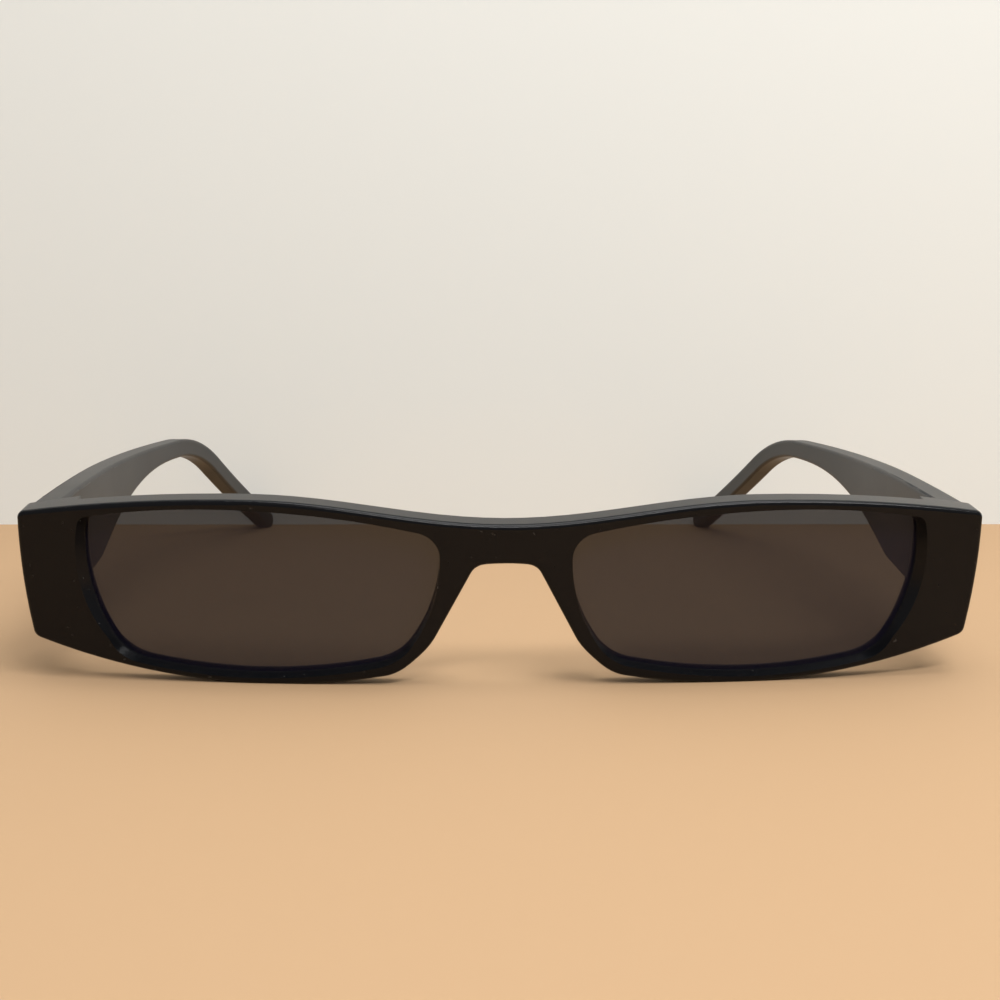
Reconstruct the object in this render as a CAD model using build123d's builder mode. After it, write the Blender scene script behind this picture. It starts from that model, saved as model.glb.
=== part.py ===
"""Narrow rectangle sunglasses, standing open on both lower rims and both temple tips.

X runs across the front, the front faces -Y, and +Z is up. The origin is on the table,
under the middle of the glasses. All lengths are millimetres.
"""
import os
from math import atan2, cos, degrees, radians, sin, sqrt

from build123d import *

os.makedirs("parts", exist_ok=True)

# Openings of the front, measured along the leaning front
nose_gap = 18.9            # between the two openings, at their nearest
opening_width = 52.5
opening_height = 25.25
lower_rim = 1.40           # below the opening
upper_rim = 1.55           # above the opening
end_width = 9.45           # from the opening to the side of the front
opening_nasal_top_radius = 4.0
opening_temporal_top_radius = 2.0
opening_lower_radius = 8.0

# Corners of the opening and middles of its sides, from the nasal top corner along the top
# and round, as shares of its width and height
opening_shares = [
    (0.009, 0.859),
    (0.555, 1.0),
    (0.989, 0.924),
    (0.973, 0.417),
    (0.893, 0.090),
    (0.517, 0.0),
    (0.1246, 0.101),
    (0.027, 0.437),
]

# How far outside each of these places the opening's front edge lies, across and along the front
window_offsets = [
    (-0.1, 0.0),
    (0.0, 0.05),
    (1.1, 0.1),
    (1.5, 0.0),
    (0.9, -0.25),
    (0.0, -0.35),
    (-0.2, -0.25),
    (-0.1, 0.0),
]

# Outline of the front
brow_half_span = 37.0      # from the middle to the highest place of the brow
bridge_dip = 3.2           # of the bridge's top below the brow
end_dip = 2.85             # of the end's top corner below the brow
bridge_height = 5.9
end_foot_height = 6.2      # of the end's lower corner
end_foot_inset = 1.35
end_side_bow = 0.5         # of the slanted side, outwards
end_top_radius = 1.2
end_foot_radius = 1.5
rim_low_half_span = 35.0   # from the middle to the lowest place of the rim
cutout_top_half = 4.5      # half width of the nose cut-out under the bridge
cutout_top_radius = 2.6
cutout_arch = 0.3          # of the middle above the top corners
cutout_foot_half = 17.8
cutout_foot_height = 1.55

# Knee and flare of the cut-out, as shares of its growing half width and of its height
knee_share = (0.436, 0.406)
flare_share = (0.655, 0.222)

# Depth of the front
front_thickness = 4.0
wrap_depth = 6.0           # of the ends behind the middle
lean = 6.0                 # degrees, top forwards
front_edge = 0.7           # rounding of the outer edges
window_edge = 0.2          # rounding of the openings' front edges
end_growth = 0.5           # of the end's back behind the wrapped back
end_wall = 0.5             # between the lens groove and the end block

# Lenses
lens_depth = 2.0           # behind the front face
opening_land = 0.45        # straight part of the opening's wall before the lens
lens_thickness = 1.6
groove_depth = 0.6
lens_fit = 0.04

# Nose rests, moulded on the back of the rims
nose_rest_length = 9.0
nose_rest_width = 2.2
nose_rest_depth = 3.4
nose_rest_taper = 10.0     # degrees
nose_rest_edge = 0.5       # sunk into the rim
nose_rest_height = 9.5     # of the middle, along the front
nose_rest_across = 10.55
nose_rest_run = 5.0        # how much wider apart the lower ends are, on each side

# Temples, seen from above
temple_inset = 0.25        # of the outer face inside the front's side
temple_thickness = 4.0
temple_tip_thickness = 3.2
temple_gap = 0.12          # at the butt
temple_straight = 30.0     # from the butt to where the arm starts to curve in
temple_tip_inset = 18.2    # of the tip's outer face inside the butt's

# Temples, seen from the side
temple_top = 25.6          # at the butt
temple_height = 17.2       # at the butt
crown_height = 26.5
crown_reach = 39.0         # from the butt
ear_height = 26.0
ear_reach = 80.5           # from the butt to the start of the ear bend
ear_bend_radius = 38.0
hook_angle = 33.0          # degrees, of the tail below level
hook_height = 3.5
belly_height = 12.0        # of the corner of the lower edge
belly_reach = 29.5
belly_radius = 7.0
haunch_height = 18.4
haunch_reach = 47.5
waist_height = 21.6
waist_reach = 62.0
temple_edge = 0.6

# Core wire of each temple
wire_reach = 16.0          # from the butt to the wire's front end
wire_start_height = 22.6
wire_height = 1.4
wire_tip_gap = 8.0
wire_fit = 0.05
wire_band_share = (0.40, 0.60)
wire_bore_share = (0.385, 0.615)

# Hinges
hinge_height = 16.2        # of the barrel's middle, along the front
barrel_radius = 1.2
knuckle_height = 1.15
knuckle_gap = 0.05
knuckle_count = 5
leaf_thickness = 0.8
leaf_gap = 0.1
leaf_corner = 0.5
front_leaf_width = 2.9
front_leaf_height = 13.6
temple_leaf_length = 9.6
screw_radius = 0.6
screw_fit = 0.03
screw_head_radius = 1.0
screw_head_height = 0.5
screw_slot_width = 0.3
screw_slot_depth = 0.25
rivet_radius = 0.5
rivet_fit = 0.02
rivet_depth = 2.3
rivet_head_radius = 0.85
rivet_head_height = 0.25
rivet_end_distance = 1.5   # from a leaf's end
rivet_pitch = 3.2          # on the temple leaf

rest_flat = 0.12           # depth of the flats that stand on the table
overrun = 5.0              # of every cut past what it cuts

# Sizes of the front that follow
opening_nasal = nose_gap / 2
opening_temporal = opening_nasal + opening_width
half_width = opening_temporal + end_width
brow_top = lower_rim + opening_height + upper_rim
bridge_top = brow_top - bridge_dip
bridge_under = bridge_top - bridge_height
end_top = brow_top - end_dip
wrap_radius = (half_width**2 + wrap_depth**2) / (2 * wrap_depth)
lean_sin, lean_cos = sin(radians(lean)), cos(radians(lean))
hook_sin, hook_cos = sin(radians(hook_angle)), cos(radians(hook_angle))


def wrapped(across, depth):
    """How far back a surface lies, at a place across, when it is so deep behind the face."""
    return wrap_radius - sqrt((wrap_radius - depth) ** 2 - across**2)


# The front leans on its rounded lower edges, and its bridge is the foremost place
rim_low_depth = wrapped(rim_low_half_span, 0) + front_edge
rim_low = front_edge * lean_cos + rim_low_depth * lean_sin - front_edge
front_lift = -rim_low - rest_flat
front_foot = bridge_top * lean_sin

# The temple starts at its butt, which leans as the front does
end_back = wrapped(half_width, front_thickness) + end_growth
butt_depth = end_back + temple_gap


def butt_reach(height):
    """How far behind the foremost place the butt lies at a height above the table."""
    along = (height - front_lift - butt_depth * lean_sin) / lean_cos
    return front_foot + butt_depth * lean_cos - along * lean_sin


# The ear bend carries the slope of the crown on, and the tail ends in a round tip on the table
butt = butt_reach(temple_top)
ear_slope = 2 * atan2(crown_height - ear_height, ear_reach - crown_reach)
bend_end_reach = butt + ear_reach + ear_bend_radius * (hook_sin - sin(ear_slope))
bend_end_height = ear_height - ear_bend_radius * (cos(ear_slope) - hook_cos)
tip_radius = hook_height / 2
tip_height = tip_radius - rest_flat
tail_run = (bend_end_height - tip_radius * hook_cos - tip_height) / hook_sin
tip_reach = bend_end_reach - tip_radius * hook_sin + tail_run * hook_cos
overall_depth = tip_reach + tip_radius

# Planes: the leaning face, the same seen from above, and the level side and top views
front_y = -overall_depth / 2
foot = (0, front_y + front_foot, front_lift)
face_plane = Plane(origin=foot, x_dir=(1, 0, 0), z_dir=(0, -lean_cos, -lean_sin))
hinge_plane = Plane(origin=foot, x_dir=(1, 0, 0), z_dir=(0, -lean_sin, lean_cos))
side_plane = Plane(origin=(0, front_y, 0), x_dir=(0, 1, 0), z_dir=(1, 0, 0))
top_plane = Plane(origin=(0, front_y, 0), x_dir=(1, 0, 0), z_dir=(0, 0, 1))
back_plane = Plane(origin=foot, x_dir=(-1, 0, 0), z_dir=(0, lean_cos, lean_sin))
inner_plane = Plane(origin=foot, x_dir=(0, -lean_cos, -lean_sin), z_dir=(-1, 0, 0))

# Places of the hinge, across and behind the face
temple_outer = half_width - temple_inset
temple_inner = temple_outer - temple_thickness
hinge_across = temple_inner - leaf_thickness - leaf_gap - barrel_radius
hinge_depth = end_back + leaf_thickness + leaf_gap + barrel_radius
barrel_height = knuckle_count * knuckle_height + (knuckle_count - 1) * knuckle_gap
barrel_low = hinge_height - barrel_height / 2

# The leaves and their rivets
front_leaf_across = hinge_across + barrel_radius - front_leaf_width / 2
front_leaf_low = hinge_height - front_leaf_height / 2
front_rivet_plane = back_plane.offset(end_back + leaf_thickness)
front_rivets_at = [
    (-front_leaf_across, front_leaf_low + rivet_end_distance),
    (-front_leaf_across, front_leaf_low + front_leaf_height - rivet_end_distance),
]
temple_leaf_near = hinge_depth - barrel_radius
temple_leaf_far = temple_leaf_near + temple_leaf_length
temple_rivet_plane = inner_plane.offset(leaf_thickness - temple_inner)
temple_rivets_at = [
    (rivet_end_distance - temple_leaf_far, hinge_height),
    (rivet_end_distance + rivet_pitch - temple_leaf_far, hinge_height),
]


def keep(part, name):
    """Label a finished piece and write it."""
    part.label = name
    export_step(part, f"parts/{name}.step")
    print(name, f"{part.volume:.1f} mm3")


def keep_pair(part, name):
    """Write a right-hand piece and its left-hand mirror image."""
    keep(part, f"right_{name}")
    with BuildPart() as left:
        mirror(part, about=Plane.YZ)
    keep(left.part, f"left_{name}")


def opening_places(growth):
    """Corners and side middles of the right-hand opening, grown outwards."""
    return [
        (
            opening_nasal - growth + share[0] * (opening_width + 2 * growth),
            lower_rim - growth + share[1] * (opening_height + 2 * growth),
        )
        for share in opening_shares
    ]


def opening(places, growth, plane=face_plane):
    """The right-hand opening through its places."""
    nasal_top, top_middle, temporal_top, temporal_middle = places[:4]
    temporal_low, bottom_middle, nasal_low, nasal_middle = places[4:]
    with BuildSketch(plane) as outline:
        with BuildLine():
            ThreePointArc(nasal_top, top_middle, temporal_top)
            ThreePointArc(temporal_top, temporal_middle, temporal_low)
            ThreePointArc(temporal_low, bottom_middle, nasal_low)
            ThreePointArc(nasal_low, nasal_middle, nasal_top)
        make_face()
        for corner, radius in (
            (nasal_top, opening_nasal_top_radius),
            (temporal_top, opening_temporal_top_radius),
            (temporal_low, opening_lower_radius),
            (nasal_low, opening_lower_radius),
        ):
            fillet(outline.vertices().sort_by_distance(corner)[0], radius=radius + growth)
    return outline.sketch


def window():
    """The sloping walls from the front edge of the right-hand opening inwards."""
    wall_depth = lens_depth - opening_land
    with BuildPart() as funnel:
        for depth in (-overrun, end_back):
            places = []
            for place, offset in zip(opening_places(0), window_offsets):
                reach = (wrapped(place[0], wall_depth) - depth) / wall_depth
                places.append((place[0] + reach * offset[0], place[1] + reach * offset[1]))
            add(opening(places, 0, face_plane.offset(-depth)))
        loft(ruled=True)
    return funnel.part


def front_outline():
    """The outline of the front on the leaning face."""
    rim_low_place = (rim_low_half_span, 0)
    brow = (brow_half_span, brow_top)
    cutout_foot = (cutout_foot_half, cutout_foot_height)
    cutout_top = (cutout_top_half, bridge_under - cutout_arch)
    end_foot = (half_width - end_foot_inset, end_foot_height)
    end_corner = (half_width, end_top)
    side_middle = (half_width - end_foot_inset / 2 + end_side_bow, (end_foot_height + end_top) / 2)
    knee, flare = (
        (cutout_top_half + share[0] * (cutout_foot_half - cutout_top_half), share[1] * bridge_under)
        for share in (knee_share, flare_share)
    )
    with BuildSketch(face_plane) as outline:
        with BuildLine():
            TangentArc((0, bridge_under), cutout_top, tangent=(1, 0))
            flank = Line(cutout_top, knee)
            rim_inner = TangentArc(rim_low_place, cutout_foot, tangent=(-1, 0))
            Spline(knee, flare, cutout_foot, tangents=(flank % 1, (rim_inner % 1) * -1))
            TangentArc(rim_low_place, end_foot, tangent=(1, 0))
            ThreePointArc(end_foot, side_middle, end_corner)
            TangentArc(brow, end_corner, tangent=(1, 0))
            Spline((0, bridge_top), brow, tangents=((1, 0), (1, 0)))
            mirror(about=Plane.YZ)
        make_face()
        for corner, radius in (
            (cutout_top, cutout_top_radius),
            (end_foot, end_foot_radius),
            (end_corner, end_top_radius),
        ):
            for hand in (1, -1):
                place = (hand * corner[0], corner[1])
                fillet(outline.vertices().sort_by_distance(place)[0], radius=radius)
    return outline.sketch


def wrap_band(near, far, with_blocks=False):
    """The wrapped front seen from above, from one depth behind its face to another."""
    edge = half_width + overrun
    with BuildSketch(hinge_plane) as band:
        with BuildLine():
            for depth in (near, far):
                back = wrapped(edge, depth)
                ThreePointArc((-edge, back), (0, depth), (edge, back))
            for hand in (1, -1):
                Line((hand * edge, wrapped(edge, near)), (hand * edge, wrapped(edge, far)))
        make_face()
        if with_blocks:
            block_near = opening_temporal + groove_depth + end_wall
            block_front = wrapped(block_near, front_thickness / 2)
            for hand in (1, -1):
                with Locations((hand * (block_near + edge) / 2, (block_front + end_back) / 2)):
                    Rectangle(edge - block_near, end_back - block_front)
    return band.sketch


def lens_body(growth, fit):
    """A lens, or with a fit the room that its groove gives it."""
    with BuildPart() as body:
        grown = opening(opening_places(growth + fit), growth + fit)
        extrude(grown, amount=end_back + overrun, both=True)
        band = wrap_band(lens_depth - fit, lens_depth + lens_thickness + fit)
        extrude(band, amount=brow_top + overrun, both=True, mode=Mode.INTERSECT)
    return body.part


def rivet_shanks(plane, places, fit):
    """The shanks of two rivets below a leaf's free face, or with a fit their holes."""
    with BuildPart() as shanks:
        with BuildSketch(plane):
            with Locations(places):
                Circle(rivet_radius + fit)
        extrude(amount=-(leaf_thickness + rivet_depth + fit))
    return shanks.part


def rivets(plane, places):
    """Two rivets with their heads on a leaf's free face."""
    with BuildPart() as pair:
        add(rivet_shanks(plane, places, 0))
        with BuildSketch(plane):
            with Locations(places):
                Circle(rivet_head_radius)
        extrude(amount=rivet_head_height)
        fillet(pair.edges().filter_by(GeomType.CIRCLE).group_by(Axis(plane.origin, plane.z_dir))[-1],
               radius=rivet_head_height / 2)
    return pair.part


def knuckles(first, web_low, web_high):
    """Every second knuckle of the barrel, each with its web to the leaf, and the screw's bore."""
    with BuildPart() as row:
        for index in range(first, knuckle_count, 2):
            low = barrel_low + index * (knuckle_height + knuckle_gap)
            with BuildSketch(hinge_plane.offset(low)):
                with Locations((hinge_across, hinge_depth)):
                    Circle(barrel_radius)
                with Locations(((web_low[0] + web_high[0]) / 2, (web_low[1] + web_high[1]) / 2)):
                    Rectangle(web_high[0] - web_low[0], web_high[1] - web_low[1])
            extrude(amount=knuckle_height)
        with BuildSketch(hinge_plane.offset(barrel_low - overrun)):
            with Locations((hinge_across, hinge_depth)):
                Circle(screw_radius + screw_fit)
        extrude(amount=barrel_height + 2 * overrun, mode=Mode.SUBTRACT)
    return row.part


def temple_band(near_share, far_share):
    """The temple seen from above, between two shares of its thickness from the outer face."""
    bend = butt + temple_straight
    with BuildSketch(top_plane) as band:
        with BuildLine():
            ends = []
            for share in (near_share, far_share):
                across = temple_outer - share * temple_thickness
                tip = (temple_outer - temple_tip_inset - share * temple_tip_thickness, overall_depth)
                Line((across, 0), (across, bend))
                TangentArc((across, bend), tip, tangent=(0, 1))
                ends.append(((across, 0), tip))
            Line(ends[0][0], ends[1][0])
            Line(ends[0][1], ends[1][1])
        make_face()
    return band.sketch


def temple_profile():
    """The temple seen from the side."""
    crown = (butt + crown_reach, crown_height)
    ear = (butt + ear_reach, ear_height)
    belly = (butt + belly_reach, belly_height)
    haunch = (butt + haunch_reach, haunch_height)
    waist = (butt + waist_reach, waist_height)
    butt_low = (butt_reach(temple_top - temple_height), temple_top - temple_height)
    turn = hook_angle - degrees(ear_slope)
    with BuildSketch(side_plane) as profile:
        with BuildLine():
            TangentArc(crown, (butt, temple_top), tangent=(-1, 0))
            back = TangentArc(crown, ear, tangent=(1, 0))
            bend = JernArc(back @ 1, back % 1, ear_bend_radius, -turn)
            tail = Line(bend @ 1, bend @ 1 + (bend % 1) * tail_run)
            cap = JernArc(tail @ 1, tail % 1, tip_radius, -180)
            under_tail = Line(cap @ 1, cap @ 1 + (cap % 1) * tail_run)
            under_bend = JernArc(under_tail @ 1, under_tail % 1, ear_bend_radius - hook_height, turn)
            rise = Vector(belly[0] - haunch[0], belly[1] - haunch[1])
            Spline(under_bend @ 1, waist, haunch, belly, tangents=(under_bend % 1, rise))
            Line(belly, butt_low)
            Line(butt_low, (butt, temple_top))
        make_face()
        fillet(profile.vertices().sort_by_distance(belly)[0], radius=belly_radius)
    return profile.sketch


def core_wire(fit, share):
    """The flat wire inside the temple, or with a fit its bore."""
    start = (butt + wire_reach - fit, wire_start_height)
    corner_height = ear_height - tip_radius
    corner = (tip_reach - (corner_height - tip_height) * hook_cos / hook_sin, corner_height)
    stop = wire_tip_gap - fit
    end = (tip_reach - stop * hook_cos, tip_height + stop * hook_sin)
    with BuildPart() as wire:
        with BuildSketch(side_plane):
            with BuildLine() as path:
                FilletPolyline(start, corner, end, radius=ear_bend_radius - tip_radius)
            trace(path.line, line_width=wire_height + 2 * fit)
        extrude(amount=half_width)
        extrude(temple_band(*share), amount=crown_height, mode=Mode.INTERSECT)
    return wire.part


# Front frame: a leaning outline out of a wrapped band, with the end blocks that the hinges sit on
with BuildPart() as front_frame:
    extrude(front_outline(), amount=end_back + overrun, both=True)
    band = wrap_band(0, front_thickness, with_blocks=True)
    extrude(band, amount=brow_top + overrun, both=True, mode=Mode.INTERSECT)
    fillet(front_frame.faces().sort_by(SortBy.AREA)[-1].edges(), radius=front_edge)
    # Nose rests on the back of the rims
    rest_slant = degrees(atan2(nose_rest_run, nose_rest_length))
    for hand in (1, -1):
        with BuildSketch(back_plane.offset(front_thickness - nose_rest_edge)):
            with Locations((hand * nose_rest_across, nose_rest_height)):
                SlotOverall(nose_rest_length, nose_rest_width, rotation=90 + hand * rest_slant)
        extrude(amount=nose_rest_depth + nose_rest_edge, taper=nose_rest_taper)
    # Openings with sloping walls, their rounded front edges and the lens grooves
    right_window = window()
    add(right_window, mode=Mode.SUBTRACT)
    mirror(right_window, about=Plane.YZ, mode=Mode.SUBTRACT)
    face_wires = front_frame.faces().sort_by(SortBy.AREA)[-1].inner_wires()
    fillet([edge for wire in face_wires for edge in wire.edges()], radius=window_edge)
    whole_opening = opening(opening_places(0), 0)
    right_opening = extrude(whole_opening, amount=end_back + overrun, both=True, mode=Mode.PRIVATE)
    add(right_opening, mode=Mode.SUBTRACT)
    mirror(right_opening, about=Plane.YZ, mode=Mode.SUBTRACT)
    right_groove = lens_body(groove_depth, lens_fit)
    add(right_groove, mode=Mode.SUBTRACT)
    mirror(right_groove, about=Plane.YZ, mode=Mode.SUBTRACT)
    # Blind holes for the hinge rivets
    front_holes = rivet_shanks(front_rivet_plane, front_rivets_at, rivet_fit)
    add(front_holes, mode=Mode.SUBTRACT)
    mirror(front_holes, about=Plane.YZ, mode=Mode.SUBTRACT)
    # Flats that stand on the table
    split(bisect_by=Plane.XY, keep=Keep.TOP)

# Lens: snapped into the groove from behind
right_lens = lens_body(groove_depth - lens_fit, 0)

# Temple: side profile cut from a curving band, rounded along its edges and bored for its wire
with BuildPart() as right_temple:
    extrude(temple_profile(), amount=half_width)
    extrude(temple_band(0, 1), amount=crown_height + overrun, both=True, mode=Mode.INTERSECT)
    butt_face = right_temple.faces().sort_by(Axis.Y)[0]
    fillet(right_temple.edges() - butt_face.edges(), radius=temple_edge)
    # Flat that stands on the table
    split(bisect_by=Plane.XY, keep=Keep.TOP)
    add(core_wire(wire_fit, wire_bore_share), mode=Mode.SUBTRACT)
    add(rivet_shanks(temple_rivet_plane, temple_rivets_at, rivet_fit), mode=Mode.SUBTRACT)

# Front leaf: a tall plate on the end block with the odd knuckles
with BuildPart() as right_front_leaf:
    with BuildSketch(back_plane.offset(end_back)):
        with Locations((-front_leaf_across, hinge_height)):
            RectangleRounded(front_leaf_width, front_leaf_height, leaf_corner)
    extrude(amount=leaf_thickness)
    add(
        knuckles(
            0,
            (hinge_across - barrel_radius, end_back + leaf_thickness / 2),
            (hinge_across + barrel_radius, hinge_depth),
        )
    )
    add(rivet_shanks(front_rivet_plane, front_rivets_at, rivet_fit), mode=Mode.SUBTRACT)

# Temple leaf: a long plate on the temple's inner face with the even knuckles
with BuildPart() as right_temple_leaf:
    with BuildSketch(inner_plane.offset(-temple_inner)):
        with Locations((-(temple_leaf_near + temple_leaf_far) / 2, hinge_height)):
            RectangleRounded(temple_leaf_length, barrel_height, leaf_corner)
    extrude(amount=leaf_thickness)
    add(
        knuckles(
            1,
            (hinge_across, hinge_depth - barrel_radius),
            (temple_inner - leaf_thickness / 2, hinge_depth + barrel_radius),
        )
    )
    add(rivet_shanks(temple_rivet_plane, temple_rivets_at, rivet_fit), mode=Mode.SUBTRACT)

# Hinge screw: slotted head on the top knuckle, shank down through all of them
with BuildPart() as right_hinge_screw:
    with BuildSketch(hinge_plane.offset(barrel_low)):
        with Locations((hinge_across, hinge_depth)):
            Circle(screw_radius)
    extrude(amount=barrel_height)
    with BuildSketch(hinge_plane.offset(barrel_low + barrel_height)):
        with Locations((hinge_across, hinge_depth)):
            Circle(screw_head_radius)
    extrude(amount=screw_head_height)
    head_top = right_hinge_screw.edges().filter_by(GeomType.CIRCLE).sort_by(Axis.Z)[-1]
    fillet(head_top, radius=screw_head_height / 3)
    with BuildSketch(hinge_plane.offset(barrel_low + barrel_height + screw_head_height)):
        with Locations((hinge_across, hinge_depth)):
            Rectangle(2 * screw_head_radius, screw_slot_width)
    extrude(amount=-screw_slot_depth, mode=Mode.SUBTRACT)

keep(front_frame.part, "front_frame")
keep_pair(right_lens, "lens")
keep_pair(right_temple.part, "temple")
keep_pair(core_wire(0, wire_band_share), "temple_core_wire")
keep_pair(right_front_leaf.part, "hinge_front_leaf")
keep_pair(right_temple_leaf.part, "hinge_temple_leaf")
keep_pair(right_hinge_screw.part, "hinge_screw")
keep_pair(rivets(front_rivet_plane, front_rivets_at), "front_leaf_rivets")
keep_pair(rivets(temple_rivet_plane, temple_rivets_at), "temple_leaf_rivets")
print(f"overall {2 * half_width:.1f} x {overall_depth:.1f} mm, hinge at {hinge_across:.2f}, {hinge_depth:.2f}")
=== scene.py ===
from math import cos, radians, sin

import bpy
from mathutils import Matrix, Vector

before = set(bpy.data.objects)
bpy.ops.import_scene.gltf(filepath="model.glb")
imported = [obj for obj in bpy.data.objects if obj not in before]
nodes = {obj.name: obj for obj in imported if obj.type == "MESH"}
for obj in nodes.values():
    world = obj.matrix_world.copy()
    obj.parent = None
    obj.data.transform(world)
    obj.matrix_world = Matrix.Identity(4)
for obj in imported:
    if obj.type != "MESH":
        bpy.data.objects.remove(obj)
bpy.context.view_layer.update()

# The front is one injection moulding of black plastic: both rims, the bridge, the nose rests
# and the broad end pieces. Its mould is finely etched, which gives the satin sheen, and its
# edges are tumbled smooth. All lengths here are in metres.
BLACK = (0.0016, 0.0020, 0.0032, 1)
RUBBED_BLACK = (0.0034, 0.0037, 0.0047, 1)
DUST = (0.10, 0.095, 0.085, 1)
FRONT_SHEEN = 0.19
FRONT_ROUGHNESS = 0.15      # where the front is smoothest
PIT = 0.00016               # across one pit of the mould's etching
PIT_DEPTH = 0.000004
PIT_STRENGTH = 0.6
CLOUD = 0.019               # across one cloud of the sheen's slow change
CLOUD_DETAIL = 4.0
CLOUD_ROUGHNESS = 0.12
SPECK = 0.0006              # across one speck of dust
SPECK_START = 0.82          # the noise at which dust begins to show
SPECK_FULL = 0.88
SPECK_COVER = 0.25
SPECK_ROUGHNESS = 0.4
MIX_SHARE, MIX_LOW, MIX_HIGH, MIX_RESULT = 0, 6, 7, 2       # a Mix node's colour sockets


class Signal:
    """An output of a material's node. Sums and products of signals add their Math nodes."""

    def __init__(self, socket):
        self.socket = socket

    def node(self, kind, settings=None, sockets=None, output=0):
        """Another node of the same material: its settings, then its sockets' values and links."""
        tree = self.socket.id_data
        made = tree.nodes.new(kind)
        for name, value in (settings or {}).items():
            setattr(made, name, value)
        for name, value in (sockets or {}).items():
            if isinstance(value, Signal):
                tree.links.new(value.socket, made.inputs[name])
            else:
                made.inputs[name].default_value = value
        return Signal(made.outputs[output]) if made.outputs else None

    def maths(self, operation, *values):
        return self.node("ShaderNodeMath", {"operation": operation}, dict(enumerate(values)))

    def __add__(self, other):
        return self.maths("ADD", self, other)

    def __mul__(self, other):
        return self.maths("MULTIPLY", self, other)

    __radd__ = __add__
    __rmul__ = __mul__


def start_finish(name):
    """A blank material, and the signal of its object coordinates in metres."""
    finish = bpy.data.materials.new(name)
    finish.use_nodes = True
    finish.node_tree.nodes.clear()
    return finish, Signal(finish.node_tree.nodes.new("ShaderNodeTexCoord").outputs["Object"])


def noise(place, size, detail=2.0):
    """Cloudy noise from 0 to 1, whose clouds are of a size in metres."""
    sockets = {"Vector": place, "Scale": 1 / size, "Detail": detail}
    return place.node("ShaderNodeTexNoise", sockets=sockets)


def bumps(height, strength, depth):
    """The surface's direction, dented by a height from 0 to 1."""
    sockets = {"Height": height, "Strength": strength, "Distance": depth}
    return height.node("ShaderNodeBump", sockets=sockets)


def blend_colours(share, low, high):
    """A colour from low to high by a share, which is a signal from 0 to 1."""
    sockets = {MIX_SHARE: share, MIX_LOW: low, MIX_HIGH: high}
    return share.node("ShaderNodeMix", {"data_type": "RGBA"}, sockets, MIX_RESULT)


def coat_surface(place, hidden=None, **sockets):
    """The finish's surface, with its sockets in plain words. It is clear where hidden is 1."""
    named = {}
    for name, value in sockets.items():
        named[name.replace("_", " ").title().replace("Ior", "IOR")] = value
    surface = place.node("ShaderNodeBsdfPrincipled", sockets=named)
    if hidden:
        clear = place.node("ShaderNodeBsdfTransparent")
        surface = place.node("ShaderNodeMixShader", sockets={0: hidden, 1: surface, 2: clear})
    place.node("ShaderNodeOutputMaterial", sockets={"Surface": surface})


def dress(finish, *names):
    """Give the finish to CAD pieces."""
    for name in names:
        for slot in nodes[name].material_slots:
            slot.material = finish


def satin_plastic(name, sheen, smoothest):
    """Black plastic from an etched mould, with a few specks of dust."""
    finish, place = start_finish(name)
    pits = noise(place, PIT)
    clouds = noise(place, CLOUD, CLOUD_DETAIL)
    specks = place.node(
        "ShaderNodeMapRange",
        sockets={
            "Value": noise(place, SPECK, detail=0.0),
            "From Min": SPECK_START,
            "From Max": SPECK_FULL,
            "To Max": SPECK_COVER,
        },
    )
    coat_surface(
        place,
        base_color=blend_colours(specks, blend_colours(clouds, BLACK, RUBBED_BLACK), DUST),
        roughness=smoothest + clouds * CLOUD_ROUGHNESS + specks * SPECK_ROUGHNESS,
        normal=bumps(pits, PIT_STRENGTH, PIT_DEPTH),
        specular_ior_level=sheen,
    )
    return finish


dress(satin_plastic("satin_black_front", FRONT_SHEEN, FRONT_ROUGHNESS), "front_frame")

# The lenses are cut from tinted clear sheet and snapped into the rims' grooves from behind.
# They are a plain warm grey all over and polished on both faces, with a faint haze.
TINT = (0.010, 0.009, 0.018, 1)
FACE_COVER = 0.725          # share of the light that each of a lens's two faces holds back
LENS_SHEEN = 0.15
LENS_ROUGHNESS = 0.06
HAZE = 0.03                 # across one cloud of the haze
HAZE_ROUGHNESS = 0.05


def lens_tint():
    """Tinted clear sheet, whose two faces each hold back part of the light."""
    finish, place = start_finish("warm_grey_lens")
    coat_surface(
        place,
        base_color=TINT,
        roughness=LENS_ROUGHNESS + noise(place, HAZE) * HAZE_ROUGHNESS,
        alpha=FACE_COVER,
        specular_ior_level=LENS_SHEEN,
    )
    return finish


dress(lens_tint(), "left_lens", "right_lens")

# The temples are moulded in the same black plastic over a flat steel core wire, which stiffens
# them and lets an optician bend the ear hooks. The wire is drawn through a die and doesn't show.
TEMPLE_SHEEN = 0.52
TEMPLE_ROUGHNESS = 0.32     # where the temples are smoothest
WIRE_STEEL = (0.55, 0.54, 0.52, 1)
WIRE_ROUGHNESS = 0.3
STREAK = 0.0002             # across one streak of the metal's working
STREAK_LENGTH = 0.004
STREAK_DEPTH = 0.000004
STREAK_STRENGTH = 0.3
STREAK_ROUGHNESS = 0.12


def streaked_metal(name, colour, smoothest):
    """Metal with fine streaks from front to back."""
    finish, place = start_finish(name)
    stretched = place.node(
        "ShaderNodeVectorMath",
        {"operation": "MULTIPLY"},
        {0: place, 1: (1, STREAK / STREAK_LENGTH, 1)},
    )
    streaks = noise(stretched, STREAK)
    coat_surface(
        place,
        base_color=colour,
        metallic=1.0,
        roughness=smoothest + streaks * STREAK_ROUGHNESS,
        normal=bumps(streaks, STREAK_STRENGTH, STREAK_DEPTH),
    )
    return finish


dress(
    satin_plastic("satin_black_temples", TEMPLE_SHEEN, TEMPLE_ROUGHNESS),
    "left_temple",
    "right_temple",
)
dress(
    streaked_metal("core_wire_steel", WIRE_STEEL, WIRE_ROUGHNESS),
    "left_temple_core_wire",
    "right_temple_core_wire",
)

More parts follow.
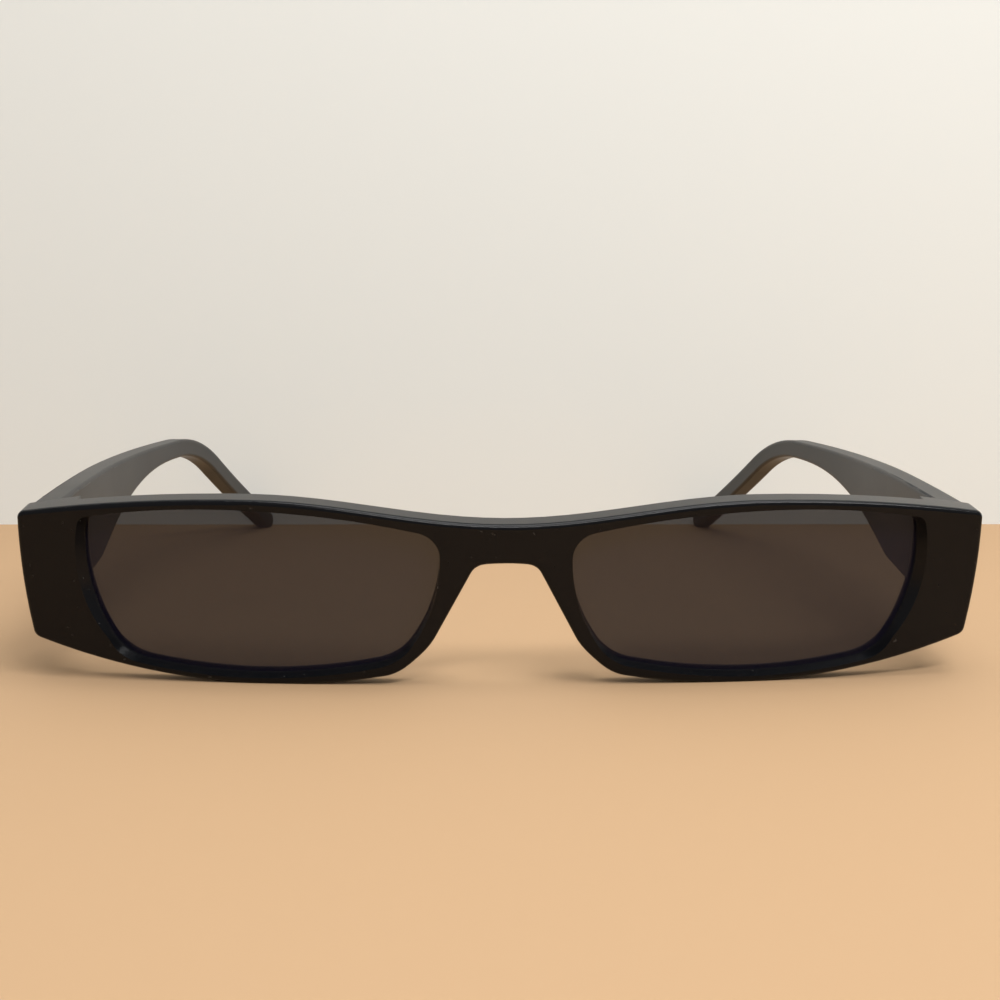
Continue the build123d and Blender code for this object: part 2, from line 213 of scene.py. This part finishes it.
# The hinges are stamped leaves with rolled knuckles, nickel plated and barrelled to a satin.
# One leaf is riveted to the back of the end piece, the other to the temple's inner face.
NICKEL = (0.60, 0.58, 0.54, 1)
NICKEL_ROUGHNESS = 0.26
dress(
    streaked_metal("satin_nickel", NICKEL, NICKEL_ROUGHNESS),
    "left_hinge_front_leaf",
    "right_hinge_front_leaf",
    "left_hinge_temple_leaf",
    "right_hinge_temple_leaf",
)

# The slotted hinge screws run through all five knuckles, and two rivets hold each leaf.
# Both are turned steel, polished by the tool.
TURNED_STEEL = (0.70, 0.69, 0.66, 1)
TURNED_ROUGHNESS = 0.14
dress(
    streaked_metal("turned_steel", TURNED_STEEL, TURNED_ROUGHNESS),
    "left_hinge_screw",
    "right_hinge_screw",
    "left_front_leaf_rivets",
    "right_front_leaf_rivets",
    "left_temple_leaf_rivets",
    "right_temple_leaf_rivets",
)

# The glasses stand on a plain pale table in front of a pale wall, both matt and a little
# mottled. Neither is part of the object.
TABLE_COLOUR = (0.485, 0.315, 0.178, 1)
WALL_COLOUR = (0.80, 0.84, 0.83, 1)
SHEET_SHEEN = 0.2
SHEET_ROUGHNESS = 0.7
MOTTLE = 0.05               # across one cloud of the mottling
MOTTLE_DETAIL = 3.0
MOTTLE_ROUGHNESS = 0.1
SIDE = 1.6                  # from the middle to the end of the table and the wall
WALL_PLACE = 0.0705         # the wall stands just behind the temple tips
WALL_TOP = 1.5
TABLE_EDGE = WALL_PLACE - 0.6


def stage_sheet(name, start, end, colour):
    """A flat sheet of the stage between two depths and heights. It is clear from behind."""
    corners = [(-SIDE, *start), (SIDE, *start), (SIDE, *end), (-SIDE, *end)]
    mesh = bpy.data.meshes.new(name)
    mesh.from_pydata(corners, [], [(0, 1, 2, 3)])
    finish, place = start_finish(name)
    coat_surface(
        place,
        place.node("ShaderNodeNewGeometry", output="Backfacing"),
        base_color=colour,
        roughness=SHEET_ROUGHNESS + noise(place, MOTTLE, MOTTLE_DETAIL) * MOTTLE_ROUGHNESS,
        specular_ior_level=SHEET_SHEEN,
    )
    mesh.materials.append(finish)
    sheet = bpy.data.objects.new(name, mesh)
    bpy.context.scene.collection.objects.link(sheet)


stage_sheet("table", (TABLE_EDGE, 0), (WALL_PLACE, 0), TABLE_COLOUR)
stage_sheet("wall", (WALL_PLACE, 0), (WALL_PLACE, WALL_TOP), WALL_COLOUR)

# Soft light: a wide lamp overhead, a long low one in front as from a window, and a pale room
# all round. Both lamps are turned to the middle of the glasses.
OVERHEAD_PLACE = (0.10, -0.10, 0.75)
OVERHEAD_SIZE = (0.5, 0.5)
OVERHEAD_POWER = 4.0        # watts
WINDOW_PLACE = (0.22, -0.42, 0.52)
WINDOW_SIZE = (0.6, 0.07)
WINDOW_POWER = 3.0
ROOM_COLOUR = (0.82, 0.80, 0.78, 1)
ROOM_STRENGTH = 0.42


def soft_lamp(name, place, size, power):
    """A soft lamp at a place, turned to the middle of the glasses."""
    lamp = bpy.data.lights.new(name, "AREA")
    lamp.shape = "RECTANGLE"
    lamp.size, lamp.size_y = size
    lamp.energy = power
    holder = bpy.data.objects.new(name, lamp)
    holder.location = place
    holder.rotation_euler = (-holder.location).to_track_quat("-Z", "Y").to_euler()
    bpy.context.scene.collection.objects.link(holder)


soft_lamp("overhead", OVERHEAD_PLACE, OVERHEAD_SIZE, OVERHEAD_POWER)
soft_lamp("window", WINDOW_PLACE, WINDOW_SIZE, WINDOW_POWER)
room = bpy.data.worlds.new("room")
room.use_nodes = True
air = room.node_tree.nodes["Background"]
air.inputs["Color"].default_value = ROOM_COLOUR
air.inputs["Strength"].default_value = ROOM_STRENGTH
bpy.context.scene.world = room

# The camera stands 0.2 m before the front and looks slightly down at it, as in the
# photograph. Its place, turn and lens come from a fit to the outlines of the glasses there.
CAMERA_PLACE = (-0.0082, -0.2757, 0.0614)
CAMERA_YAW = radians(1.99)       # to the right
CAMERA_PITCH = radians(9.10)     # down
CAMERA_ROLL = radians(-0.33)
CAMERA_NEAR = 0.01               # nothing nearer than this shows
SENSOR = 36.0                    # millimetres
LENS = 52.74                     # millimetres
level = Vector((cos(CAMERA_YAW), -sin(CAMERA_YAW), 0))
ahead = Vector((
    sin(CAMERA_YAW) * cos(CAMERA_PITCH),
    cos(CAMERA_YAW) * cos(CAMERA_PITCH),
    -sin(CAMERA_PITCH),
))
down = ahead.cross(level)
right = cos(CAMERA_ROLL) * level + sin(CAMERA_ROLL) * down
below = cos(CAMERA_ROLL) * down - sin(CAMERA_ROLL) * level
turn = Matrix((right, -below, -ahead)).transposed().to_4x4()
camera = bpy.data.objects.new("camera", bpy.data.cameras.new("camera"))
camera.data.sensor_width = SENSOR
camera.data.lens = LENS
camera.data.clip_start = CAMERA_NEAR
camera.matrix_world = Matrix.Translation(CAMERA_PLACE) @ turn
bpy.context.scene.collection.objects.link(camera)
bpy.context.scene.camera = camera
bpy.context.scene.view_settings.view_transform = "Standard"
